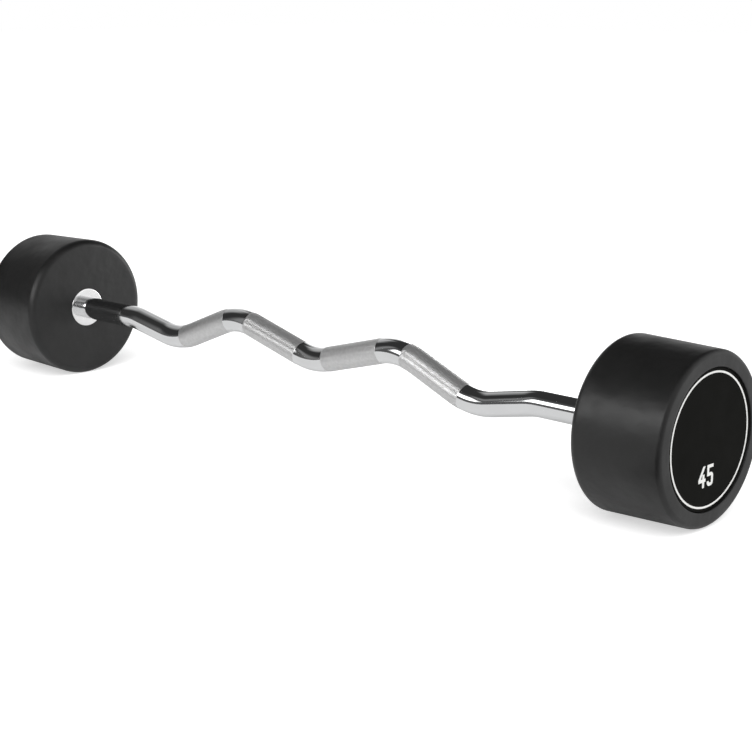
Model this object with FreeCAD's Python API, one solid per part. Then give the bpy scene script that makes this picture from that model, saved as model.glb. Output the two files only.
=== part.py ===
import FreeCAD, Part
import math
import os

# Fixed-weight curl barbell: a cranked steel bar with a round rubber-covered weight head on each end.
# Millimetres. X runs along the bar and Z is up. The origin is on the floor, under the middle of the
# bar, and the heads stand on the floor.

# Bar: spans along X from the middle outwards, heights from the line through both ends
bar_diameter = 32.0
inner_grip_span = 148.0
outer_grip_span = 122.0
lead_span = 95.0
stub_span = 119.0
middle_dip = 7.7
crest_rise = 32.0
trough_dip = 18.2
bend_radius = 100.0

# Turned end of the bar, inside the head
shoulder_step = 2.0
spigot_end_gap = 1.0
spigot_chamfer = 1.0
tapped_hole_spare = 8.0

# Head: rubber casing, largest next to the side that faces the grips, with a moulding draft in degrees
head_diameter = 200.0
head_draft = 1.4
head_width = 115.0
inner_edge_radius = 9.5
outer_edge_radius = 6.0
rim_width = 12.4
rubber_side = 7.0
rubber_inner = 8.0
rubber_outer = 4.0
recess_chamfer = 0.8
ring_hole_chamfer = 0.8

# Cast core
core_chamfer = 4.0
bore_clearance = 0.05
pocket_clearance = 3.0
pocket_chamfer = 1.0

# Shoulder ring between the bar and the core
ring_diameter = 56.0
ring_clearance = 0.1
ring_chamfer = 0.8

# Feather key
key_width = 8.0
key_height = 7.0
key_length = 40.0
key_depth_in_bar = 4.0
key_side_clearance = 0.03
key_top_clearance = 0.3

# End bolt with its two washers
bolt_diameter = 12.0
bolt_length = 45.0
bolt_head_diameter = 18.0
bolt_head_height = 12.0
bolt_head_chamfer = 1.0
bolt_tip_chamfer = 1.2
bolt_thread_clearance = 0.05
socket_across_flats = 10.0
socket_depth = 6.0
socket_sides = 6
washer_diameter = 44.0
washer_thickness = 6.0
washer_hole_clearance = 0.5
washer_chamfer = 1.0
spring_washer_diameter = 18.1
spring_washer_thickness = 2.5
spring_washer_clearance = 0.2
spring_washer_gap = 2.0
spring_washer_slant = 20.0
pocket_spare_depth = 2.0

# End plate and the tape ring behind it
plate_thickness = 3.0
plate_sunk = 2.0
plate_chamfer = 0.5
plate_clearance = 0.5
tape_inset = 4.5
tape_width = 24.0
tape_thickness = 1.0

# Worked out from the sizes above. Stations are measured along X from the middle of the bar.
origin = FreeCAD.Vector(0, 0, 0)
along_bar = FreeCAD.Vector(1, 0, 0)
across_bar = FreeCAD.Vector(0, 1, 0)
upwards = FreeCAD.Vector(0, 0, 1)
axis_height = head_diameter / 2
shoulder = inner_grip_span + outer_grip_span + lead_span + stub_span
core_start = shoulder + rubber_inner
rim_face = shoulder + head_width
plate_face = rim_face - plate_sunk
plate_back = plate_face - plate_thickness
recess_floor = plate_back - tape_thickness
core_end = recess_floor - rubber_outer
bolt_stack = washer_thickness + spring_washer_thickness + bolt_head_height
pocket_floor = core_end - bolt_stack - pocket_spare_depth
spigot_end = pocket_floor - spigot_end_gap
bolt_seat = pocket_floor + washer_thickness + spring_washer_thickness
bolt_tip = bolt_seat - bolt_length
spigot_diameter = bar_diameter - 2 * shoulder_step
bore_diameter = spigot_diameter + 2 * bore_clearance
pocket_diameter = washer_diameter + 2 * pocket_clearance
key_bottom = spigot_diameter / 2 - key_depth_in_bar
keyway_width = key_width + 2 * key_side_clearance
draft_slope = math.tan(math.radians(head_draft))
draft_stretch = 1 / math.cos(math.radians(head_draft))


def casing_radius(station):
    """Radius of the casing's cone at a station, so that the rounded inner edge just reaches the diameter."""
    lost_at_edge = inner_edge_radius * (draft_stretch - 1 + draft_slope)
    return head_diameter / 2 + lost_at_edge - (station - shoulder) * draft_slope


recess_diameter = 2 * (casing_radius(rim_face) - outer_edge_radius - rim_width)
plate_diameter = recess_diameter - 2 * plate_clearance
tape_diameter = plate_diameter - 2 * tape_inset


def rod(start, end, diameter):
    """Solid cylinder on the bar axis between two stations."""
    return Part.makeCylinder(diameter / 2, end - start, along_bar * start, along_bar)


def tube(start, end, outer_diameter, inner_diameter):
    return rod(start, end, outer_diameter).cut(rod(start, end, inner_diameter))


def drum(start, end, inset):
    """Tapered drum that follows the casing, inset below its surface."""
    start_radius = casing_radius(start) - inset
    end_radius = casing_radius(end) - inset
    return Part.makeCone(start_radius, end_radius, end - start, along_bar * start, along_bar)


def circles_at(shape, station, diameter):
    """Round edges of a shape at a station with a diameter."""
    found = []
    for edge in shape.Edges:
        curve = edge.Curve
        if not isinstance(curve, Part.Circle):
            continue
        at_station = abs(curve.Center.x - station) < Part.Precision.confusion()
        if at_station and abs(curve.Radius - diameter / 2) < Part.Precision.confusion():
            found.append(edge)
    return found


def round_at(shape, station, diameter, radius):
    return shape.makeFillet(radius, circles_at(shape, station, diameter))


def chamfer_at(shape, station, diameter, size):
    return shape.makeChamfer(size, circles_at(shape, station, diameter))


def rounded_corner_path(corners, radius):
    """Wire of straight runs joined by tangent arcs of one radius."""
    edges = []
    run_start = corners[0]
    for before, corner, after in zip(corners, corners[1:], corners[2:]):
        to_before = (before - corner).normalize()
        to_after = (after - corner).normalize()
        half_angle = to_before.getAngle(to_after) / 2
        bisector = (to_before + to_after).normalize()
        arc_start = corner + to_before * (radius / math.tan(half_angle))
        arc_end = corner + to_after * (radius / math.tan(half_angle))
        arc_middle = corner + bisector * (radius / math.sin(half_angle) - radius)
        edges.append(Part.LineSegment(run_start, arc_start).toShape())
        edges.append(Part.Arc(arc_start, arc_middle, arc_end).toShape())
        run_start = arc_end
    edges.append(Part.LineSegment(run_start, corners[-1]).toShape())
    return Part.Wire(edges)


def bar_corners():
    """Corners of the bar's centre line, from the left shoulder to the right one."""
    crest_x = inner_grip_span
    trough_x = crest_x + outer_grip_span
    stub_x = trough_x + lead_span
    right_half = [
        FreeCAD.Vector(crest_x, 0, crest_rise),
        FreeCAD.Vector(trough_x, 0, -trough_dip),
        FreeCAD.Vector(stub_x, 0, 0),
        FreeCAD.Vector(shoulder, 0, 0),
    ]
    left_half = [FreeCAD.Vector(-point.x, 0, point.z) for point in reversed(right_half)]
    return left_half + [FreeCAD.Vector(0, 0, -middle_dip)] + right_half


def key_block(width, length, bottom, top):
    """Round-ended block halfway along the core's bore, from one height above the axis to another."""
    straight = length - width
    height = top - bottom
    first_end = FreeCAD.Vector((core_start + pocket_floor - straight) / 2, 0, bottom)
    block = Part.makeBox(straight, width, height, first_end - across_bar * (width / 2))
    for centre in (first_end, first_end + along_bar * straight):
        block = block.fuse(Part.makeCylinder(width / 2, height, centre, upwards))
    return block.removeSplitter()


def at_both_ends(shape):
    """The piece as modelled at the right end, and turned round for the left end."""
    turned = shape.copy()
    turned.rotate(origin, upwards, 180)
    return {"right": shape, "left": turned}


def make_curl_bar():
    path = rounded_corner_path(bar_corners(), bend_radius)
    section = Part.Wire(Part.Circle(along_bar * -shoulder, along_bar, bar_diameter / 2).toShape())
    bar = path.makePipeShell([section], True, False)

    spigot = rod(shoulder, spigot_end, spigot_diameter)
    spigot = chamfer_at(spigot, spigot_end, spigot_diameter, spigot_chamfer)
    hole_diameter = bolt_diameter + 2 * bolt_thread_clearance
    hole = rod(bolt_tip - tapped_hole_spare, spigot_end, hole_diameter)
    slot_length = key_length + 2 * key_side_clearance
    slot = key_block(keyway_width, slot_length, key_bottom, spigot_diameter)

    for added in at_both_ends(spigot).values():
        bar = bar.fuse(added)
    for removed in list(at_both_ends(hole).values()) + list(at_both_ends(slot).values()):
        bar = bar.cut(removed)
    return bar


def make_shoulder_ring():
    ring = tube(shoulder, core_start, ring_diameter, bore_diameter)
    return chamfer_at(ring, shoulder, ring_diameter, ring_chamfer)


def core_blank():
    """Outside of the cast core, which is also the hollow in the casing."""
    blank = drum(core_start, core_end, rubber_side)
    for station in (core_start, core_end):
        diameter = 2 * (casing_radius(station) - rubber_side)
        blank = chamfer_at(blank, station, diameter, core_chamfer)
    return blank


def make_head_core():
    core = core_blank()
    core = core.cut(rod(core_start, pocket_floor, bore_diameter))
    core = core.cut(rod(pocket_floor, core_end, pocket_diameter))
    core = chamfer_at(core, core_end, pocket_diameter, pocket_chamfer)
    keyway_top = key_bottom + key_height + key_top_clearance
    keyway_corner = FreeCAD.Vector(core_start, -keyway_width / 2, 0)
    keyway = Part.makeBox(pocket_floor - core_start, keyway_width, keyway_top, keyway_corner)
    return core.cut(keyway)


def make_rubber_casing():
    casing = drum(shoulder, rim_face, 0)
    casing = round_at(casing, shoulder, 2 * casing_radius(shoulder), inner_edge_radius)
    casing = round_at(casing, rim_face, 2 * casing_radius(rim_face), outer_edge_radius)
    ring_hole_diameter = ring_diameter + 2 * ring_clearance
    casing = casing.cut(rod(recess_floor, rim_face, recess_diameter))
    casing = casing.cut(core_blank())
    casing = casing.cut(rod(shoulder, core_start, ring_hole_diameter))
    casing = casing.cut(rod(core_end, recess_floor, pocket_diameter))
    casing = chamfer_at(casing, rim_face, recess_diameter, recess_chamfer)
    return chamfer_at(casing, shoulder, ring_hole_diameter, ring_hole_chamfer)


def make_lock_key():
    return key_block(key_width, key_length, key_bottom, key_bottom + key_height)


def make_retaining_washer():
    hole_diameter = bolt_diameter + 2 * washer_hole_clearance
    washer = tube(pocket_floor, pocket_floor + washer_thickness, washer_diameter, hole_diameter)
    return chamfer_at(washer, pocket_floor + washer_thickness, washer_diameter, washer_chamfer)


def make_spring_washer():
    start = pocket_floor + washer_thickness
    hole_diameter = bolt_diameter + 2 * spring_washer_clearance
    washer = tube(start, bolt_seat, spring_washer_diameter, hole_diameter)
    reach = spring_washer_diameter
    split_corner = FreeCAD.Vector(-reach, -spring_washer_gap / 2, 0)
    split = Part.makeBox(2 * reach, spring_washer_gap, reach, split_corner)
    split.rotate(origin, upwards, spring_washer_slant)
    split.translate(along_bar * ((start + bolt_seat) / 2))
    return washer.cut(split)


def make_end_bolt():
    head_top = bolt_seat + bolt_head_height
    head = rod(bolt_seat, head_top, bolt_head_diameter)
    head = chamfer_at(head, head_top, bolt_head_diameter, bolt_head_chamfer)
    shank = rod(bolt_tip, bolt_seat, bolt_diameter)
    shank = chamfer_at(shank, bolt_tip, bolt_diameter, bolt_tip_chamfer)
    corner_radius = socket_across_flats / 2 / math.cos(math.pi / socket_sides)
    corners = []
    for turn in range(socket_sides + 1):
        angle = 2 * math.pi * turn / socket_sides
        y = corner_radius * math.cos(angle)
        z = corner_radius * math.sin(angle)
        corners.append(FreeCAD.Vector(head_top - socket_depth, y, z))
    socket = Part.Face(Part.makePolygon(corners)).extrude(along_bar * socket_depth)
    return head.fuse(shank).cut(socket)


def make_end_plate():
    plate = rod(plate_back, plate_face, plate_diameter)
    return chamfer_at(plate, plate_face, plate_diameter, plate_chamfer)


def make_plate_tape():
    return tube(recess_floor, plate_back, tape_diameter, tape_diameter - 2 * tape_width)


pieces = {"curl_bar": make_curl_bar()}
end_pieces = {
    "shoulder_ring": make_shoulder_ring(),
    "head_core": make_head_core(),
    "rubber_casing": make_rubber_casing(),
    "lock_key": make_lock_key(),
    "retaining_washer": make_retaining_washer(),
    "spring_washer": make_spring_washer(),
    "end_bolt": make_end_bolt(),
    "end_plate": make_end_plate(),
    "plate_tape": make_plate_tape(),
}
for name, shape in end_pieces.items():
    for end, placed in at_both_ends(shape).items():
        pieces[end + "_" + name] = placed

os.makedirs("parts", exist_ok=True)
for node, shape in pieces.items():
    shape.translate(upwards * axis_height)
    shape.exportStep("parts/" + node + ".step")
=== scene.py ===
"""Looks of a fixed-weight curl barbell on a pale studio floor.

Metres. X runs along the bar, Z is up and the floor is at Z = 0. The camera looks from the right and
the front, at the inner face of the left head and the outer face of the right head.
"""

import math

import bmesh
import bpy
from mathutils import Matrix, Vector, noise


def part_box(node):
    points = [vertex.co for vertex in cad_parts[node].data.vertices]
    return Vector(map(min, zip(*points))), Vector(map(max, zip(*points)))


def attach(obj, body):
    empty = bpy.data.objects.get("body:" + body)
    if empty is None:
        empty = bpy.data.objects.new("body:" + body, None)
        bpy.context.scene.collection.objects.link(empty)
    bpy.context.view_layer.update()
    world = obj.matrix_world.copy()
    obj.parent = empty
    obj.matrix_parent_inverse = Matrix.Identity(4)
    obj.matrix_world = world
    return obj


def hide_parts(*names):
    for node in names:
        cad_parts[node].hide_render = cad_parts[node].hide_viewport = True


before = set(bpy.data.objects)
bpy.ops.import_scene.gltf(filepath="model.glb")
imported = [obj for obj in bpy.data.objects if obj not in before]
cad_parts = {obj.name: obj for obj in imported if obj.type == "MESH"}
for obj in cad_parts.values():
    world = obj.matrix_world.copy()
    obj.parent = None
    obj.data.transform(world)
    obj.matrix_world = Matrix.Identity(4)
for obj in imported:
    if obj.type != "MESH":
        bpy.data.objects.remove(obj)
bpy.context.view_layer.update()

# Places read from the frame, at the right end
bar_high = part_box("curl_bar")[1]
ring_low, ring_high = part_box("right_shoulder_ring")
casing_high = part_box("right_rubber_casing")[1]
core_low, core_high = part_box("right_head_core")
plate_low, plate_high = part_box("right_end_plate")
tape_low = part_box("right_plate_tape")[0]
bolt_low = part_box("right_end_bolt")[0]
washer_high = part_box("right_retaining_washer")[1]

AXIS_HEIGHT = (ring_low.z + ring_high.z) / 2
SHOULDER = ring_low.x
BAR_RADIUS = bar_high.y
RING_RADIUS = ring_high.y
HEAD_RADIUS = casing_high.y
RIM_FACE = casing_high.x
PLATE_FACE = plate_high.x
PLATE_RADIUS = plate_high.y
ENDS = {"right": 1, "left": -1}

# Centre line of the bar, from the middle outwards, with heights from the line through both ends
INNER_GRIP_SPAN = 0.148
OUTER_GRIP_SPAN = 0.122
LEAD_SPAN = 0.095
MIDDLE_DIP = 0.0077
CREST_RISE = 0.032
TROUGH_DIP = 0.0182
BEND_RADIUS = 0.100

# Skin of the bar
BAR_POINTS = 160
BAR_SHARP_ANGLE = math.radians(30)
SMOOTH_STEP = 0.0025

# Knurled grips: diamonds between grooves that cross at an angle
KNURL_LENGTH = 0.100
KNURL_RISE = 0.00025
KNURL_DEPTH = 0.00012
KNURL_GROOVE = 0.0006
KNURL_STRETCH = 1.75

# Turned end of the bar, inside the head
SHOULDER_STEP = 0.002
SPIGOT_CHAMFER = 0.001
HOLE_RADIUS = 0.00605
HOLE_SPARE = 0.008

# Turned pieces
TURN_POINTS = 256
SHARP_ANGLE = math.radians(35)
SMALL_EDGE_STEPS = 4

# Rubber casing
HEAD_DRAFT = math.radians(1.4)
INNER_EDGE_RADIUS = 0.0095
INNER_EDGE_STEPS = 14
OUTER_EDGE_RADIUS = 0.006
OUTER_EDGE_STEPS = 12
RUBBER_SIDE = 0.007
CORE_CHAMFER = 0.004
RECESS_EDGE = 0.0008
RING_HOLE_EDGE = 0.0008
RING_CLEARANCE = 0.0001
PLATE_CLEARANCE = 0.0005
POCKET_CLEARANCE = 0.003
SKIN_STEP = 0.004
SKIN_DENT = 0.0002
SKIN_DENT_SIZE = 0.045

# Shoulder ring and end plate
RING_BORE_RADIUS = 0.01405
RING_CHAMFER = 0.0008
PLATE_EDGE = 0.0005

# White print on the end plate
LINE_RADIUS = 0.0736
LINE_WIDTH = 0.0024
PRINT_HEIGHT = 0.00015
PRINT_SUNK = 0.0001
NUMBER_HEIGHT = 0.0238
NUMBER_DROP = 0.0392
NUMBER_SHIFT = -0.0050

# Digits, in digit heights
STROKE = 0.155
DIGIT_GAP = 0.12
FOUR_WIDTH = 0.57
FIVE_WIDTH = 0.49
FOUR_STEM = 0.315
FOUR_STEM_TOP = 0.62
FOUR_BAR = 0.265
FOUR_TIP = 0.36
SLANT_WIDTH = 0.175
BOWL_TOP = 0.63
BOWL_RADIUS = 0.19
BOWL_LIP = 0.24
BOWL_STEPS = 8

# Procedural patterns: the part of their range that is used, and the turning marks
PATTERN_LOW = 0.3
PATTERN_HIGH = 0.7
WAVE_RATE = 20
RING_WOBBLE = 1.5

# Camera, found from the outline of the barbell in a frame of 752 by 752
CAMERA_PLACE = Vector((1.52194, -1.48784, 0.57363))
CAMERA_AZIMUTH = math.radians(43.52)
CAMERA_ELEVATION = math.radians(13.25)
CAMERA_LENS = 80.39
CAMERA_SENSOR = 36.0

# Studio
FLOOR_SIZE = 30.0
FLOOR_COLOUR = (0.80, 0.80, 0.80, 1)
FLOOR_GLOW = 0.58
MIRRORED_FLOOR_GLOW = 0.12
SKY_FILL = 0.25
KEY_DIRECTION = Vector((0.75, -0.66, 1.00))
KEY_SPREAD = math.radians(60)
KEY_STRENGTH = 3.1

# Studio as the bright surfaces mirror it, painted as reflections that light nothing: a glowing dome of
# white walls with patches laid over each other, the bright patches painted highlights and the dark ones
# painted dark reflections.
# Each patch has its range round from the front, its range up from the floor, the softness of its edges
# in both directions, all in degrees, and its brightness.
DOME_RADIUS = 1.9
DOME_STEP = 3
DOME_FOOT = -3
WALL_LEVEL = 0.8
FAR = 999
DOWN = -90
EVERYWHERE = (-FAR, FAR)
DOME_PATCHES = {
    "right wall": ((62, 128), EVERYWHERE, (8, 1), 0.60),
    "back wall, right": ((116, 150), (DOWN, 22), (8, 8), 1.10),
    "front wall": ((-45, 62), EVERYWHERE, (4, 1), 0.12),
    "back wall, left": ((-160, -122), (DOWN, 14), (6, 6), 1.20),
    "left wall, high": ((-117, -80), (15, 60), (6, 8), 0.48),
    "left flag": ((-90, -45), EVERYWHERE, (12, 1), 0.04),
    "left flag's foot": ((-90, -45), (DOWN, 4), (4, 6), 0.14),
    "ceiling": (EVERYWHERE, (46, FAR), (1, 7), 0.04),
    "back ceiling, left": ((-FAR, -124), (26, FAR), (8, 9), 0.04),
    "back ceiling, right": ((136, FAR), (25, FAR), (8, 9), 0.04),
    "front box": ((-36, 42), (15, 34), (3, 3), 4.6),
}

# Dark sheet just above the floor at the front right, which only the bright surfaces mirror: a painted
# dark reflection, which shades nothing
PAINTED_DARK_SHEET = ((0.51, -1.6), (2.2, -0.16))
PAINTED_DARK_SHEET_HEIGHT = 0.002
PAINTED_DARK_SHEET_LEVEL = 0.03

# White glowing board behind the bar, which only the bright surfaces mirror and which lights nothing: a
# painted sheen on the left head's face, with painted shade where the bar blocks it. Its corners in X
# and Z
PAINTED_SHEEN_BOARD = ((-0.36, 0.02), (0.00, 0.30))
PAINTED_SHEEN_BOARD_DEPTH = 0.62
PAINTED_SHEEN_BOARD_LEVEL = 4.5


# Meshes

def make_object(name, vertices, faces, materials):
    """Mesh with its faces turned outwards, linked to the scene."""
    mesh = bpy.data.meshes.new(name)
    mesh.from_pydata(vertices, [], faces)
    work = bmesh.new()
    work.from_mesh(mesh)
    bmesh.ops.recalc_face_normals(work, faces=work.faces)
    work.to_mesh(mesh)
    work.free()
    for material in materials:
        mesh.materials.append(material)
    piece = bpy.data.objects.new(name, mesh)
    bpy.context.scene.collection.objects.link(piece)
    return piece


def arc(centre, radius, start, end, steps):
    """Points of an arc, from one angle to another."""
    points = []
    for step in range(steps + 1):
        angle = start + (end - start) * step / steps
        points.append((centre[0] + radius * math.cos(angle), centre[1] + radius * math.sin(angle)))
    return points


def run(start, end, step):
    """Points of a straight line, evenly spaced, without its two ends."""
    count = max(1, round(math.dist(start, end) / step))
    shares = [index / count for index in range(1, count)]
    return [(start[0] + (end[0] - start[0]) * t, start[1] + (end[1] - start[1]) * t) for t in shares]


def turned_piece(name, outline, end, material, skin=0):
    """Piece turned about the bar's axis from an outline of (station, radius) points.

    A closed outline has a bore. An outline that starts and ends on the axis makes a solid disc. The
    first points of the outline, as many as skin says, are gently uneven, as moulded rubber is.
    """
    on_axis = outline[0][1] == 0
    rings = []
    vertices = []
    for index, (station, radius) in enumerate(outline):
        if radius == 0:
            rings.append([len(vertices)] * TURN_POINTS)
            vertices.append((end * station, 0, AXIS_HEIGHT))
            continue
        rings.append(range(len(vertices), len(vertices) + TURN_POINTS))
        inward = inward_normal(outline, index)
        for point in range(TURN_POINTS):
            angle = 2 * math.pi * point / TURN_POINTS
            dent = skin_dent(station, radius, angle, end) if index < skin else 0
            place = station + inward[0] * dent
            reach = radius + inward[1] * dent
            y = end * reach * math.sin(angle)
            vertices.append((end * place, y, AXIS_HEIGHT + reach * math.cos(angle)))
    faces = []
    pairs = list(zip(rings, rings[1:]))
    if not on_axis:
        pairs.append((rings[-1], rings[0]))
    for first, second in pairs:
        for point in range(TURN_POINTS):
            after = (point + 1) % TURN_POINTS
            corners = [first[point], first[after], second[after], second[point]]
            faces.append(list(dict.fromkeys(corners)))
    piece = make_object(name, vertices, faces, [material])
    piece.data.set_sharp_from_angle(angle=SHARP_ANGLE)
    return piece


def inward_normal(outline, index):
    """Direction into the material at a point of an outline that runs with the material on its right."""
    before = outline[index - 1]
    after = outline[(index + 1) % len(outline)]
    along = Vector((after[0] - before[0], after[1] - before[1])).normalized()
    return along.y, -along.x


def skin_dent(station, radius, angle, end):
    """How far the rubber skin lies below its true surface at a point."""
    place = Vector((end * station, radius * math.sin(angle), radius * math.cos(angle)))
    return SKIN_DENT * (1 + noise.noise(place / SKIN_DENT_SIZE)) / 2


# Bar

def bar_corners():
    """Corners of the centre line as (x, height above the axis), from left to right."""
    crest = INNER_GRIP_SPAN
    trough = crest + OUTER_GRIP_SPAN
    stub = trough + LEAD_SPAN
    right = [(crest, CREST_RISE), (trough, -TROUGH_DIP), (stub, 0), (SHOULDER, 0)]
    left = [(-x, height) for x, height in reversed(right)]
    return left + [(0, -MIDDLE_DIP)] + right


def bar_route():
    """Straight runs and bends of the centre line, each as (length, start, slope, curvature)."""
    corners = [Vector(corner) for corner in bar_corners()]
    slopes = []
    for first, second in zip(corners, corners[1:]):
        slopes.append(math.atan2(second.y - first.y, second.x - first.x))
    route = []
    start = corners[0]
    for corner, slope, next_slope in zip(corners[1:], slopes, slopes[1:]):
        turn = next_slope - slope
        tangent = BEND_RADIUS * math.tan(abs(turn) / 2)
        bend_start = corner - tangent * Vector((math.cos(slope), math.sin(slope)))
        route.append(((bend_start - start).length, start, slope, 0))
        route.append((BEND_RADIUS * abs(turn), bend_start, slope, math.copysign(1 / BEND_RADIUS, turn)))
        start = corner + tangent * Vector((math.cos(next_slope), math.sin(next_slope)))
    route.append(((corners[-1] - start).length, start, slopes[-1], 0))
    return route


def place_on(route, distance):
    """Centre and slope of the bar at a distance along its centre line."""
    for length, start, slope, curvature in route:
        if distance <= length or (length, start, slope, curvature) == route[-1]:
            break
        distance -= length
    if curvature == 0:
        return start + distance * Vector((math.cos(slope), math.sin(slope))), slope
    turned = slope + curvature * distance
    across = (math.sin(turned) - math.sin(slope)) / curvature
    rise = (math.cos(slope) - math.cos(turned)) / curvature
    return start + Vector((across, rise)), turned


def bend_middles(route):
    """Distances along the centre line at which the bends have their middles."""
    middles = []
    passed = 0
    for length, start, slope, curvature in route:
        if curvature != 0:
            middles.append(passed + length / 2)
        passed += length
    return middles


def bar_stations(route):
    """Rings of the bar between its shoulders, as (distance, height of even points, of odd points)."""
    middles = bend_middles(route)
    stations = []
    reached = 0
    for first_bend, second_bend in zip(middles[1:], middles[2:-1]):
        knurl_start = (first_bend + second_bend - KNURL_LENGTH) / 2
        stations += plain_rings(reached, knurl_start) + knurl_rings(knurl_start)
        reached = knurl_start + KNURL_LENGTH
    return stations + plain_rings(reached, sum(stretch[0] for stretch in route))


def plain_rings(start, end):
    """Evenly spaced rings of the smooth bar."""
    count = math.ceil((end - start) / SMOOTH_STEP)
    return [(start + (end - start) * index / count, 0, 0) for index in range(count + 1)]


def knurl_rings(start):
    """Rings of one grip, with crests and valleys at every other point and a valley at both ends."""
    valley = KNURL_RISE - KNURL_DEPTH
    length = KNURL_LENGTH - 2 * KNURL_GROOVE
    count = round(length / (KNURL_STRETCH * 2 * math.pi * BAR_RADIUS / BAR_POINTS))
    rings = []
    for row in range(count + 1):
        even_height = KNURL_RISE if row % 2 else valley
        odd_height = valley if row % 2 else KNURL_RISE
        if row in (0, count):
            even_height = odd_height = valley
        rings.append((start + KNURL_GROOVE + length * row / count, even_height, odd_height))
    return rings


def spigot_outline():
    """Turned end of the bar inside the head, from the shoulder to the bottom of the bolt hole."""
    spigot_end = bar_high.x
    spigot_radius = BAR_RADIUS - SHOULDER_STEP
    return [
        (SHOULDER, spigot_radius),
        (spigot_end - SPIGOT_CHAMFER, spigot_radius),
        (spigot_end, spigot_radius - SPIGOT_CHAMFER),
        (spigot_end, HOLE_RADIUS),
        (bolt_low.x - HOLE_SPARE, HOLE_RADIUS),
    ]


def bar_rings():
    """Rings of the whole bar, as (centre, slope, radii of even and odd points, whether in a grip)."""
    route = bar_route()
    spigot = spigot_outline()
    rings = [((-station, 0), 0, (radius, radius), False) for station, radius in reversed(spigot)]
    for distance, even_height, odd_height in bar_stations(route):
        centre, slope = place_on(route, distance)
        radii = (BAR_RADIUS + even_height, BAR_RADIUS + odd_height)
        rings.append((centre, slope, radii, even_height != 0))
    return rings + [((station, 0), 0, (radius, radius), False) for station, radius in spigot]


def bar_ring(centre, slope, radii):
    """Points of one ring round the bar, square to its centre line."""
    points = []
    for index in range(BAR_POINTS):
        angle = 2 * math.pi * index / BAR_POINTS
        radius = radii[index % 2]
        rise = radius * math.cos(angle)
        x = centre[0] - rise * math.sin(slope)
        z = AXIS_HEIGHT + centre[1] + rise * math.cos(slope)
        points.append((x, radius * math.sin(angle), z))
    return points


def make_bar(chrome, knurled):
    """Whole bar as one skin over rings of points, with flat facets on the knurled grips."""
    rings = bar_rings()
    vertices = []
    for centre, slope, radii, in_grip in rings:
        vertices.extend(bar_ring(centre, slope, radii))
    faces = []
    knurl_faces = []
    for index, (ring, next_ring) in enumerate(zip(rings, rings[1:])):
        radii, in_grip = ring[2:]
        next_radii, next_in_grip = next_ring[2:]
        for point in range(BAR_POINTS):
            near = point % 2
            far = 1 - near
            heights = (radii[near], radii[far], next_radii[far], next_radii[near])
            parts = split_along_valley(ring_corners(index, point), heights)
            faces.extend(parts)
            knurl_faces.extend([in_grip or next_in_grip] * len(parts))
    hole_bottom = spigot_outline()[-1][0]
    for x, ring_start in ((-hole_bottom, 0), (hole_bottom, len(vertices) - BAR_POINTS)):
        middle = len(vertices)
        vertices.append((x, 0, AXIS_HEIGHT))
        for point in range(BAR_POINTS):
            faces.append((middle, ring_start + point, ring_start + (point + 1) % BAR_POINTS))
            knurl_faces.append(False)
    bar = make_object("cranked_bar", vertices, faces, [chrome, knurled])
    bar.data.set_sharp_from_angle(angle=BAR_SHARP_ANGLE)
    bar.data.polygons.foreach_set("use_smooth", [not is_knurl for is_knurl in knurl_faces])
    bar.data.polygons.foreach_set("material_index", [int(is_knurl) for is_knurl in knurl_faces])
    return bar


def ring_corners(ring, point):
    """Vertex numbers of one face between a ring of the bar and the next ring."""
    after = (point + 1) % BAR_POINTS
    start = ring * BAR_POINTS
    following = start + BAR_POINTS
    return start + point, start + after, following + after, following + point


def split_along_valley(corners, heights):
    """One four-sided face where it is level, or two triangles with the lower diagonal between them."""
    a, b, c, d = corners
    first_diagonal = heights[0] + heights[2]
    second_diagonal = heights[1] + heights[3]
    if first_diagonal == second_diagonal:
        return [(a, b, c, d)]
    if first_diagonal < second_diagonal:
        return [(a, b, c), (a, c, d)]
    return [(a, b, d), (b, c, d)]


# Heads

def casing_radius(station):
    """Radius of the casing's cone, so that the rounded inner edge just reaches the head's radius."""
    lost_at_edge = INNER_EDGE_RADIUS * (1 / math.cos(HEAD_DRAFT) - 1 + math.tan(HEAD_DRAFT))
    return HEAD_RADIUS + lost_at_edge - (station - SHOULDER) * math.tan(HEAD_DRAFT)


def core_radius(station):
    """Radius of the core inside the casing's cone, below the rubber."""
    return casing_radius(station) - RUBBER_SIDE


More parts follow.
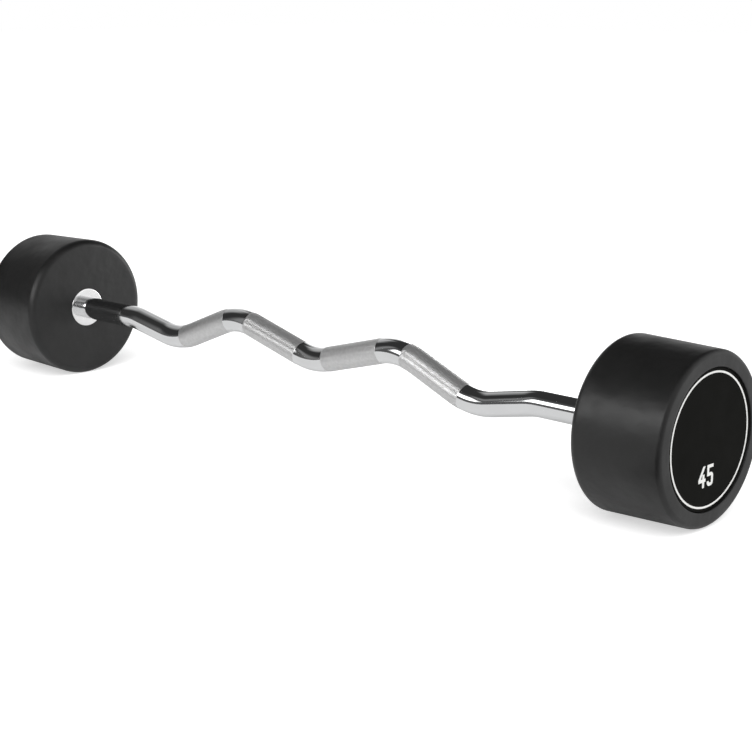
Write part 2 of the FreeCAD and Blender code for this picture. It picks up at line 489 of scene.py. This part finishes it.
def make_casing(end, material):
    """Rubber casing: skin from the ring's hole to the plate's recess, then the hollow for the core."""
    cone_angle = math.pi / 2 - HEAD_DRAFT
    inner_centre = (SHOULDER + INNER_EDGE_RADIUS, HEAD_RADIUS - INNER_EDGE_RADIUS)
    outer_x = RIM_FACE - OUTER_EDGE_RADIUS
    outer_centre = (outer_x, casing_radius(outer_x) - OUTER_EDGE_RADIUS / math.cos(HEAD_DRAFT))
    hole_radius = RING_RADIUS + RING_CLEARANCE
    recess_radius = PLATE_RADIUS + PLATE_CLEARANCE
    pocket_radius = washer_high.y + POCKET_CLEARANCE
    recess_floor = tape_low.x
    recess_centre = (RIM_FACE - RECESS_EDGE, recess_radius + RECESS_EDGE)
    inner_edge = arc(inner_centre, INNER_EDGE_RADIUS, math.pi, cone_angle, INNER_EDGE_STEPS)
    outer_edge = arc(outer_centre, OUTER_EDGE_RADIUS, cone_angle, 0, OUTER_EDGE_STEPS)
    recess_edge = arc(recess_centre, RECESS_EDGE, 0, -math.pi / 2, SMALL_EDGE_STEPS)
    hole_mouth = (SHOULDER, hole_radius + RING_HOLE_EDGE)
    skin = [hole_mouth]
    skin += run(hole_mouth, inner_edge[0], SKIN_STEP) + inner_edge
    skin += run(inner_edge[-1], outer_edge[0], SKIN_STEP) + outer_edge
    skin += run(outer_edge[-1], recess_edge[0], SKIN_STEP)
    hollow = recess_edge + [(recess_floor, recess_radius), (recess_floor, pocket_radius)]
    hollow += [(core_high.x, pocket_radius), (core_high.x, core_radius(core_high.x) - CORE_CHAMFER)]
    for corner in (core_high.x - CORE_CHAMFER, core_low.x + CORE_CHAMFER):
        hollow.append((corner, core_radius(corner)))
    hollow += [(core_low.x, core_radius(core_low.x) - CORE_CHAMFER), (core_low.x, hole_radius)]
    hollow.append((SHOULDER + RING_HOLE_EDGE, hole_radius))
    name = end + "_rubber_skin"
    return turned_piece(name, skin + hollow, ENDS[end], material, skin=len(skin))


def make_ring(end, material):
    """Shoulder ring: a turned washer with its outer corner broken, flush with the head."""
    face = SHOULDER
    back = ring_high.x
    edge_centre = (face + RING_CHAMFER, RING_RADIUS - RING_CHAMFER)
    edge = arc(edge_centre, RING_CHAMFER, math.pi, math.pi / 2, SMALL_EDGE_STEPS)
    outline = [(face, RING_BORE_RADIUS)] + run((face, RING_BORE_RADIUS), edge[0], SKIN_STEP) + edge
    outline += [(back, RING_RADIUS), (back, RING_BORE_RADIUS)]
    return turned_piece(end + "_bright_ring", outline, ENDS[end], material)


def make_plate(end, material):
    """End plate: a thin disc with a softened front edge."""
    back = plate_low.x
    edge_centre = (PLATE_FACE - PLATE_EDGE, PLATE_RADIUS - PLATE_EDGE)
    edge = arc(edge_centre, PLATE_EDGE, math.pi / 2, 0, SMALL_EDGE_STEPS)
    face = run(edge[-1], (PLATE_FACE, 0), SKIN_STEP)
    outline = [(back, 0), (back, PLATE_RADIUS)] + edge + face + [(PLATE_FACE, 0)]
    return turned_piece(end + "_face_plate", outline, ENDS[end], material)


def make_line(end, material):
    """White line printed round the edge of the plate."""
    low = PLATE_FACE - PRINT_SUNK
    high = PLATE_FACE + PRINT_HEIGHT
    inner = LINE_RADIUS - LINE_WIDTH / 2
    outer = LINE_RADIUS + LINE_WIDTH / 2
    outline = [(low, outer), (high, outer - PRINT_HEIGHT), (high, inner + PRINT_HEIGHT), (low, inner)]
    return turned_piece(end + "_plate_line", outline, ENDS[end], material)


def digit_four():
    """Outline of a plain four with an open top: a slanted stroke, a crossbar and a short stem."""
    stem_right = FOUR_STEM + STROKE
    bar_top = FOUR_BAR + STROKE
    stem_foot = [(FOUR_STEM, FOUR_BAR), (FOUR_STEM, 0), (stem_right, 0), (stem_right, FOUR_BAR)]
    bar_end = [(FOUR_WIDTH, FOUR_BAR), (FOUR_WIDTH, bar_top)]
    stem_head = [(stem_right, bar_top), (stem_right, FOUR_STEM_TOP), (FOUR_STEM, FOUR_STEM_TOP)]
    slant = [(FOUR_STEM, bar_top), (SLANT_WIDTH, bar_top), (FOUR_TIP + SLANT_WIDTH, 1), (FOUR_TIP, 1)]
    return stem_foot + bar_end + stem_head + slant + [(0, bar_top), (0, FOUR_BAR)]


def digit_five():
    """Outline of a plain five with a square-shouldered bowl."""
    quarter = math.pi / 2
    right = FIVE_WIDTH - BOWL_RADIUS
    upper = (right, BOWL_TOP - BOWL_RADIUS)
    lower = (right, BOWL_RADIUS)
    lower_left = (BOWL_RADIUS, BOWL_RADIUS)
    flag = [(0, BOWL_TOP - STROKE), (0, 1), (FIVE_WIDTH, 1), (FIVE_WIDTH, 1 - STROKE)]
    flag += [(STROKE, 1 - STROKE), (STROKE, BOWL_TOP)]
    outside = arc(upper, BOWL_RADIUS, quarter, 0, BOWL_STEPS)
    outside += arc(lower, BOWL_RADIUS, 0, -quarter, BOWL_STEPS)
    outside += arc(lower_left, BOWL_RADIUS, -quarter, -2 * quarter, BOWL_STEPS)
    lip = [(0, BOWL_LIP), (STROKE, BOWL_LIP)]
    counter_radius = BOWL_RADIUS - STROKE
    counter = arc(lower_left, counter_radius, -2 * quarter, -quarter, BOWL_STEPS)
    counter += arc(lower, counter_radius, -quarter, 0, BOWL_STEPS)
    counter += arc(upper, counter_radius, 0, quarter, BOWL_STEPS)
    return flag + outside + lip + counter


def make_number(end, material):
    """Plain weight number printed below the middle of the plate."""
    curve = bpy.data.curves.new(end + "_number_outline", "CURVE")
    curve.dimensions = "2D"
    curve.fill_mode = "BOTH"
    curve.extrude = (PRINT_HEIGHT + PRINT_SUNK) / 2
    half_width = (FOUR_WIDTH + DIGIT_GAP + FIVE_WIDTH) / 2
    for outline, start in ((digit_four(), -half_width), (digit_five(), half_width - FIVE_WIDTH)):
        spline = curve.splines.new("POLY")
        spline.points.add(len(outline) - 1)
        for point, (across, up) in zip(spline.points, outline):
            point.co = ((start + across) * NUMBER_HEIGHT, (up - 1 / 2) * NUMBER_HEIGHT, 0, 1)
        spline.use_cyclic_u = True
    drawn = bpy.data.objects.new(end + "_number_outline", curve)
    mesh = bpy.data.meshes.new_from_object(drawn)
    bpy.data.objects.remove(drawn)
    # The digits run across along Y and up along Z, and their thickness lies along X
    to_plate = Matrix(((0, 0, 1, 0), (1, 0, 0, 0), (0, 1, 0, 0), (0, 0, 0, 1)))
    lowered = Matrix.Translation((0, NUMBER_SHIFT, -NUMBER_DROP))
    raised = Matrix.Translation((PLATE_FACE + (PRINT_HEIGHT - PRINT_SUNK) / 2, 0, AXIS_HEIGHT))
    to_end = Matrix.Rotation(0 if end == "right" else math.pi, 4, "Z")
    mesh.transform(to_end @ raised @ lowered @ to_plate)
    mesh.materials.clear()
    mesh.materials.append(material)
    piece = bpy.data.objects.new(end + "_plate_number", mesh)
    bpy.context.scene.collection.objects.link(piece)
    return piece


# Materials

class Finish:
    """Material with one principled shader and procedural detail in object coordinates."""

    def __init__(self, name, **settings):
        self.material = bpy.data.materials.new(name)
        self.material.use_nodes = True
        self.tree = self.material.node_tree
        self.shader = self.tree.nodes["Principled BSDF"]
        self.place = self.tree.nodes.new("ShaderNodeTexCoord").outputs["Object"]
        for socket, value in settings.items():
            self.shader.inputs[socket.replace("_", " ")].default_value = value

    def noise(self, size, detail=2.0):
        """Soft random pattern with features of about this size."""
        node = self.tree.nodes.new("ShaderNodeTexNoise")
        node.inputs["Scale"].default_value = 1 / size
        node.inputs["Detail"].default_value = detail
        self.tree.links.new(self.place, node.inputs["Vector"])
        return node.outputs["Fac"]

    def between(self, pattern, low, high):
        """The pattern stretched to run from one value to another."""
        node = self.tree.nodes.new("ShaderNodeMapRange")
        node.inputs["From Min"].default_value = PATTERN_LOW
        node.inputs["From Max"].default_value = PATTERN_HIGH
        node.inputs["To Min"].default_value = low
        node.inputs["To Max"].default_value = high
        self.tree.links.new(pattern, node.inputs["Value"])
        return node.outputs["Result"]

    def vary_roughness(self, pattern, low, high):
        """Roughness that runs from low to high over the pattern."""
        self.tree.links.new(self.between(pattern, low, high), self.shader.inputs["Roughness"])

    def vary_colour(self, pattern, dark, light):
        """Base colour that runs from dark to light over the pattern."""
        node = self.tree.nodes.new("ShaderNodeValToRGB")
        node.color_ramp.elements[0].position = PATTERN_LOW
        node.color_ramp.elements[0].color = dark + (1,)
        node.color_ramp.elements[1].position = PATTERN_HIGH
        node.color_ramp.elements[1].color = light + (1,)
        self.tree.links.new(pattern, node.inputs["Fac"])
        self.tree.links.new(node.outputs["Color"], self.shader.inputs["Base Color"])

    def bump(self, pattern, height):
        """Fine relief of this height, added to the relief that is there already."""
        node = self.tree.nodes.new("ShaderNodeBump")
        node.inputs["Strength"].default_value = 1
        node.inputs["Distance"].default_value = height
        self.tree.links.new(pattern, node.inputs["Height"])
        normal = self.shader.inputs["Normal"]
        if normal.is_linked:
            self.tree.links.new(normal.links[0].from_socket, node.inputs["Normal"])
        self.tree.links.new(node.outputs["Normal"], normal)

    def rings(self, spacing):
        """Concentric turning marks about the bar's axis."""
        shift = self.tree.nodes.new("ShaderNodeMapping")
        shift.inputs["Location"].default_value = (0, 0, -AXIS_HEIGHT)
        self.tree.links.new(self.place, shift.inputs["Vector"])
        node = self.tree.nodes.new("ShaderNodeTexWave")
        node.wave_type = "RINGS"
        node.rings_direction = "X"
        node.inputs["Scale"].default_value = 1 / (WAVE_RATE * spacing)
        node.inputs["Distortion"].default_value = RING_WOBBLE
        self.tree.links.new(shift.outputs["Vector"], node.inputs["Vector"])
        return node.outputs["Fac"]


def grey(level):
    """Neutral colour."""
    return (level, level, level)


def chrome_finish():
    """Bright chrome of the smooth bar."""
    finish = Finish("bright_chrome", Metallic=1.0)
    finish.vary_colour(finish.noise(size=0.060), dark=(0.69, 0.695, 0.70), light=(0.73, 0.735, 0.74))
    finish.vary_roughness(finish.noise(size=0.030, detail=4), low=0.045, high=0.075)
    finish.bump(finish.noise(size=0.0020), height=0.0000010)
    return finish.material


def knurl_finish():
    """Duller chrome of the knurled grips."""
    finish = Finish("knurled_chrome", Metallic=0.8)
    finish.vary_colour(finish.noise(size=0.0040, detail=3), dark=grey(0.54), light=grey(0.62))
    finish.vary_roughness(finish.noise(size=0.0060, detail=4), low=0.29, high=0.38)
    finish.bump(finish.noise(size=0.0006), height=0.000006)
    return finish.material


def rubber_finish():
    """Black rubber with a fine grain over slow unevenness."""
    finish = Finish("moulded_rubber", Specular_IOR_Level=0.45)
    finish.vary_colour(finish.noise(size=0.040, detail=3), dark=grey(0.0062), light=grey(0.0093))
    finish.vary_roughness(finish.noise(size=0.045), low=0.36, high=0.50)
    finish.bump(finish.noise(size=0.0009, detail=3), height=0.000030)
    finish.bump(finish.noise(size=0.028), height=0.0010)
    return finish.material


def ring_finish():
    """Polished steel with turning marks."""
    finish = Finish("polished_steel", Metallic=1.0)
    finish.vary_colour(finish.noise(size=0.010), dark=grey(0.88), light=grey(0.94))
    finish.vary_roughness(finish.noise(size=0.004, detail=3), low=0.10, high=0.16)
    finish.bump(finish.rings(spacing=0.0004), height=0.0000020)
    return finish.material


def plate_finish():
    """Satin black of the end plates, which mirrors very little."""
    finish = Finish("satin_black_plate", Specular_IOR_Level=0.02)
    dark, light = (0.0058, 0.0058, 0.0051), (0.0072, 0.0072, 0.0064)
    finish.vary_colour(finish.noise(size=0.030), dark, light)
    finish.vary_roughness(finish.noise(size=0.015, detail=3), low=0.44, high=0.56)
    finish.bump(finish.noise(size=0.0007), height=0.000008)
    return finish.material


def print_finish():
    """White printing ink."""
    finish = Finish("white_print", Specular_IOR_Level=0.3)
    finish.vary_colour(finish.noise(size=0.006), dark=(0.84, 0.84, 0.82), light=(0.89, 0.89, 0.87))
    finish.vary_roughness(finish.noise(size=0.004), low=0.42, high=0.52)
    finish.bump(finish.noise(size=0.0005), height=0.000006)
    return finish.material


def cast_finish():
    """Rough grey cast iron."""
    finish = Finish("grey_casting", Metallic=0.7)
    dark, light = (0.09, 0.088, 0.085), (0.15, 0.147, 0.142)
    finish.vary_colour(finish.noise(size=0.008, detail=4), dark, light)
    finish.vary_roughness(finish.noise(size=0.005, detail=4), low=0.55, high=0.8)
    finish.bump(finish.noise(size=0.0025, detail=4), height=0.00025)
    return finish.material


def plated_finish():
    """Bluish zinc plate of the fasteners."""
    finish = Finish("zinc_plate", Metallic=1.0)
    dark, light = (0.50, 0.51, 0.54), (0.60, 0.61, 0.62)
    finish.vary_colour(finish.noise(size=0.005, detail=3), dark, light)
    finish.vary_roughness(finish.noise(size=0.003, detail=3), low=0.26, high=0.40)
    finish.bump(finish.noise(size=0.0008), height=0.000012)
    return finish.material


def tape_finish():
    """Dark grey foam of the mounting tape."""
    finish = Finish("foam_tape")
    finish.vary_colour(finish.noise(size=0.0012, detail=3), dark=grey(0.07), light=grey(0.12))
    finish.vary_roughness(finish.noise(size=0.002), low=0.85, high=0.95)
    finish.bump(finish.noise(size=0.0010, detail=3), height=0.00012)
    return finish.material


# Studio

def make_floor():
    """Pale floor whose lit part reaches white in the picture and keeps the object's shadow."""
    half = FLOOR_SIZE / 2
    corners = [(-half, -half, 0), (half, -half, 0), (half, half, 0), (-half, half, 0)]
    material = bpy.data.materials.new("pale_floor")
    material.use_nodes = True
    tree = material.node_tree
    tree.nodes.clear()
    matt = tree.nodes.new("ShaderNodeBsdfDiffuse")
    matt.inputs["Color"].default_value = FLOOR_COLOUR
    glow = tree.nodes.new("ShaderNodeEmission")
    both = tree.nodes.new("ShaderNodeAddShader")
    out = tree.nodes.new("ShaderNodeOutputMaterial")
    path = tree.nodes.new("ShaderNodeLightPath")
    mirrored = tree.nodes.new("ShaderNodeMath")
    mirrored.operation = "MULTIPLY"
    mirrored.inputs[1].default_value = MIRRORED_FLOOR_GLOW
    strength = tree.nodes.new("ShaderNodeMath")
    strength.operation = "MULTIPLY_ADD"
    strength.inputs[1].default_value = FLOOR_GLOW
    tree.links.new(path.outputs["Is Glossy Ray"], mirrored.inputs[0])
    tree.links.new(path.outputs["Is Camera Ray"], strength.inputs[0])
    tree.links.new(mirrored.outputs["Value"], strength.inputs[2])
    tree.links.new(strength.outputs["Value"], glow.inputs["Strength"])
    tree.links.new(matt.outputs["BSDF"], both.inputs[0])
    tree.links.new(glow.outputs["Emission"], both.inputs[1])
    tree.links.new(both.outputs["Shader"], out.inputs["Surface"])
    floor = make_object("floor", corners, [(0, 1, 2, 3)], [material])


def seen_directly(tree):
    """One for rays from the camera, off bright surfaces and through glass, and zero for others."""
    path = tree.nodes.new("ShaderNodeLightPath")
    first = tree.nodes.new("ShaderNodeMath")
    first.operation = "MAXIMUM"
    second = tree.nodes.new("ShaderNodeMath")
    second.operation = "MAXIMUM"
    tree.links.new(path.outputs["Is Camera Ray"], first.inputs[0])
    tree.links.new(path.outputs["Is Glossy Ray"], first.inputs[1])
    tree.links.new(first.outputs["Value"], second.inputs[0])
    tree.links.new(path.outputs["Is Transmission Ray"], second.inputs[1])
    return second.outputs["Value"]


def make_world():
    """White background with a softer fill for the light that falls on the object."""
    world = bpy.data.worlds.new("studio")
    bpy.context.scene.world = world
    world.use_nodes = True
    tree = world.node_tree
    background = tree.nodes["Background"]
    background.inputs["Color"].default_value = (1, 1, 1, 1)
    level = tree.nodes.new("ShaderNodeMapRange")
    level.inputs["To Min"].default_value = SKY_FILL
    level.inputs["To Max"].default_value = 1
    tree.links.new(seen_directly(tree), level.inputs["Value"])
    tree.links.new(level.outputs["Result"], background.inputs["Strength"])


def fade(value, start, end):
    """Smooth step from zero at the start to one at the end."""
    share = min(max((value - start) / (end - start), 0), 1)
    return share * share * (3 - 2 * share)


def inside(value, limits, soft):
    """One between two limits and zero outside them, with soft edges."""
    low, high = limits
    return fade(value, low - soft, low + soft) * (1 - fade(value, high - soft, high + soft))


def painted_dome_level(turn, rise):
    """Brightness of the painted studio reflection towards one side and height."""
    level = WALL_LEVEL
    for turns, rises, softness, patch_level in DOME_PATCHES.values():
        share = inside(turn, turns, softness[0]) * inside(rise, rises, softness[1])
        level += (patch_level - level) * share
    return level


def make_painted_reflection(name, vertices, faces, levels):
    """Glowing sheet with a brightness at each point, which only the bright surfaces mirror: a painted
    reflection that lights nothing and casts no shadow.
    """
    material = bpy.data.materials.new(name)
    material.use_nodes = True
    material.cycles.emission_sampling = "NONE"
    tree = material.node_tree
    tree.nodes.clear()
    level = tree.nodes.new("ShaderNodeAttribute")
    level.attribute_name = "painted_reflection_level"
    glow = tree.nodes.new("ShaderNodeEmission")
    out = tree.nodes.new("ShaderNodeOutputMaterial")
    tree.links.new(level.outputs["Fac"], glow.inputs["Strength"])
    tree.links.new(glow.outputs["Emission"], out.inputs["Surface"])
    sheet = make_object(name, vertices, faces, [material])
    sheet.data.attributes.new("painted_reflection_level", "FLOAT", "POINT").data.foreach_set("value", levels)
    sheet.visible_camera = False
    sheet.visible_diffuse = False
    sheet.visible_transmission = False
    sheet.visible_shadow = False


def make_painted_reflection_dome():
    """Painted reflection of the studio's walls and ceiling: a glowing dome that only the bright
    surfaces mirror.
    """
    turns = range(-180, 180, DOME_STEP)
    rises = range(DOME_FOOT, 90, DOME_STEP)
    vertices = []
    levels = []
    for rise in rises:
        height = AXIS_HEIGHT + DOME_RADIUS * math.sin(math.radians(rise))
        reach = DOME_RADIUS * math.cos(math.radians(rise))
        for turn in turns:
            x = reach * math.sin(math.radians(turn))
            y = -reach * math.cos(math.radians(turn))
            vertices.append((x, y, height))
            levels.append(painted_dome_level(turn, rise))
    faces = []
    for row in range(len(rises) - 1):
        low = row * len(turns)
        high = low + len(turns)
        for column in range(len(turns)):
            after = (column + 1) % len(turns)
            faces.append((low + column, low + after, high + after, high + column))
    faces.append(tuple(range(len(vertices) - len(turns), len(vertices))))
    make_painted_reflection("painted_reflection_dome", vertices, faces, levels)


def make_painted_dark_sheet():
    """Painted dark reflection: a dark sheet just above the floor, seen only in shiny surfaces."""
    (left, front), (right, back) = PAINTED_DARK_SHEET
    corners = [(left, front), (right, front), (right, back), (left, back)]
    vertices = [(x, y, PAINTED_DARK_SHEET_HEIGHT) for x, y in corners]
    make_painted_reflection("painted_dark_sheet", vertices, [(0, 1, 2, 3)], [PAINTED_DARK_SHEET_LEVEL] * len(vertices))


def make_painted_sheen_board():
    """Glowing board seen only in shiny surfaces: a painted sheen on the left head's face, with painted
    shade where the bar blocks it.
    """
    (left, low), (right, high) = PAINTED_SHEEN_BOARD
    corners = [(left, low), (right, low), (right, high), (left, high)]
    vertices = [(x, PAINTED_SHEEN_BOARD_DEPTH, z) for x, z in corners]
    make_painted_reflection("painted_sheen_board", vertices, [(0, 1, 2, 3)], [PAINTED_SHEEN_BOARD_LEVEL] * len(vertices))


def make_key():
    """Broad even light from above and in front, the same all over the floor, for matt surfaces."""
    light = bpy.data.lights.new("key", "SUN")
    light.energy = KEY_STRENGTH
    light.angle = KEY_SPREAD
    lamp = bpy.data.objects.new("key", light)
    lamp.rotation_euler = KEY_DIRECTION.to_track_quat("Z", "Y").to_euler()
    lamp.visible_glossy = False
    bpy.context.scene.collection.objects.link(lamp)


def make_camera():
    """Camera at the photo's place and angle."""
    data = bpy.data.cameras.new("camera")
    data.lens = CAMERA_LENS
    data.sensor_width = CAMERA_SENSOR
    camera = bpy.data.objects.new("camera", data)
    camera.location = CAMERA_PLACE
    level = math.cos(CAMERA_ELEVATION)
    back = Vector((
        math.sin(CAMERA_AZIMUTH) * level,
        -math.cos(CAMERA_AZIMUTH) * level,
        math.sin(CAMERA_ELEVATION),
    ))
    camera.rotation_euler = (-back).to_track_quat("-Z", "Y").to_euler()
    bpy.context.scene.collection.objects.link(camera)
    bpy.context.scene.camera = camera


# Assembly

def place_piece(piece, node=None):
    """Fixes a new piece to the root and in place of its solid."""
    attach(piece, "root")
    if node:
        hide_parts(node)


def dress_node(node, material):
    """Gives a carried-over solid its finish."""
    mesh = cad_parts[node].data
    mesh.materials.clear()
    mesh.materials.append(material)


rubber = rubber_finish()
ring_metal = ring_finish()
plate_black = plate_finish()
white = print_finish()
casting = cast_finish()
plated = plated_finish()
foam = tape_finish()

place_piece(make_bar(chrome_finish(), knurl_finish()), "curl_bar")
for end in ENDS:
    place_piece(make_casing(end, rubber), end + "_rubber_casing")
    place_piece(make_ring(end, ring_metal), end + "_shoulder_ring")
    place_piece(make_plate(end, plate_black), end + "_end_plate")
    place_piece(make_line(end, white))
    place_piece(make_number(end, white))
    dress_node(end + "_head_core", casting)
    dress_node(end + "_plate_tape", foam)
    for hidden in ("lock_key", "retaining_washer", "spring_washer", "end_bolt"):
        dress_node(end + "_" + hidden, plated)

make_floor()
make_world()
# Glowing sheets that only the bright surfaces mirror: painted reflections, highlights and dark
# reflections
make_painted_reflection_dome()
make_painted_dark_sheet()
make_painted_sheen_board()
make_key()
make_camera()
bpy.context.scene.view_settings.view_transform = "Standard"
